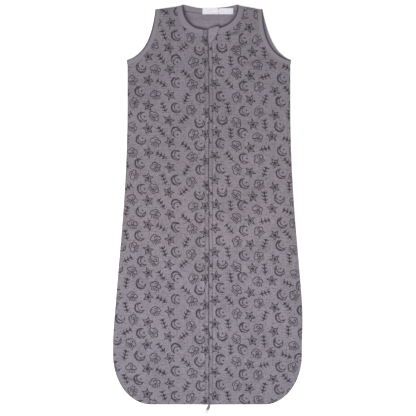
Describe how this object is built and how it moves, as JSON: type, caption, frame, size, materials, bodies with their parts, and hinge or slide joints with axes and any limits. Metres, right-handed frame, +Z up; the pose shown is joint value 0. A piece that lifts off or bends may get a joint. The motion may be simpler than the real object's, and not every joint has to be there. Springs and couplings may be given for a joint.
{
  "type": "baby sleeping bag",
  "caption": "Sleeveless baby sleeping bag lying closed, with a front zip from neck to hem, ribbed neck and arm bindings, a chin guard over the zip end and labels inside the neck.",
  "frame": {"origin": "centre of the underside's bounding box, on the floor plane", "axes": "+X to the right of a viewer who looks down on the front with the hem towards them, +Y from the hem to the neck, +Z up out of the front"},
  "size_m": [0.4258, 0.9138, 0.029],
  "materials": {
    "printed_fabric": "matt woven cotton with a dark line print",
    "lining": "matt soft jersey",
    "rib_binding": "fine rib knit",
    "satin_label": "woven satin, bare",
    "guard_fabric": "matt soft jersey with a stitched edge",
    "zip_tape": "close woven tape",
    "zip_coil": "nylon monofilament coil",
    "zip_ends": "moulded",
    "slider": "satin grey enamel, worn bright on the edges",
    "pull": "satin grey enamel, worn bright at the tip"
  },
  "bodies": {
    "root": {"back_panel": "printed_fabric", "back_lining": "lining", "neck_binding_back": "rib_binding", "neck_label": "satin_label", "size_label": "satin_label", "front_panel_left": "printed_fabric", "front_panel_right": "printed_fabric", "front_lining_left": "lining", "front_lining_right": "lining", "armhole_binding_left": "rib_binding", "armhole_binding_right": "rib_binding", "placket_foot_left": "printed_fabric", "placket_foot_right": "printed_fabric", "tape_foot_left": "zip_tape", "tape_foot_right": "zip_tape"},
    "lapel_left": {"front_lapel_left": "printed_fabric", "lapel_lining_left": "lining", "neck_binding_left": "rib_binding", "placket_left": "printed_fabric", "zip_tape_left": "zip_tape", "zip_coil_left": "zip_coil", "insertion_pin": "zip_ends"},
    "lapel_right": {"front_lapel_right": "printed_fabric", "lapel_lining_right": "lining", "neck_binding_right": "rib_binding", "placket_right": "printed_fabric", "zip_tape_right": "zip_tape", "zip_coil_right": "zip_coil", "retainer_box": "zip_ends"},
    "slider": {"slider_body": "slider"},
    "pull": {"pull_tab": "pull"},
    "guard": {"chin_guard": "guard_fabric"}
  },
  "joints": [
    {"name": "right_front_fold", "type": "hinge", "parent": "root", "child": "lapel_right", "pos_m": [0.004, -0.44309, 0.01565], "axis": [0.0814, 0.9966, 0.0133], "range_deg": [0, 145], "deforming": ["zip_coil_right"]},
    {"name": "left_front_fold", "type": "hinge", "parent": "root", "child": "lapel_left", "pos_m": [-0.004, -0.44309, 0.01565], "axis": [-0.0814, 0.9966, 0.0133], "range_deg": [-145, 0], "deforming": ["placket_left", "zip_tape_left", "zip_coil_left"]},
    {"name": "slider_run", "type": "slide", "parent": "lapel_right", "child": "slider", "axis": [0, 0.9999, 0.0133], "range_m": [0, 0.8206]},
    {"name": "pull_swing", "type": "hinge", "parent": "slider", "child": "pull", "pos_m": [0, -0.43753, 0.01652], "axis": [-1, 0, 0], "range_deg": [0, 170]},
    {"name": "guard_lift", "type": "hinge", "parent": "lapel_right", "child": "guard", "pos_m": [0.0265, 0.38529, 0.02785], "axis": [0, 0.9999, 0.0133], "range_deg": [0, 90]}
  ],
  "couplings": [
    {"joint": "left_front_fold", "follows": "right_front_fold", "ratio": -1},
    {"joint": "slider_run", "follows": "right_front_fold", "m_per_rad": 0.32425}
  ]
}
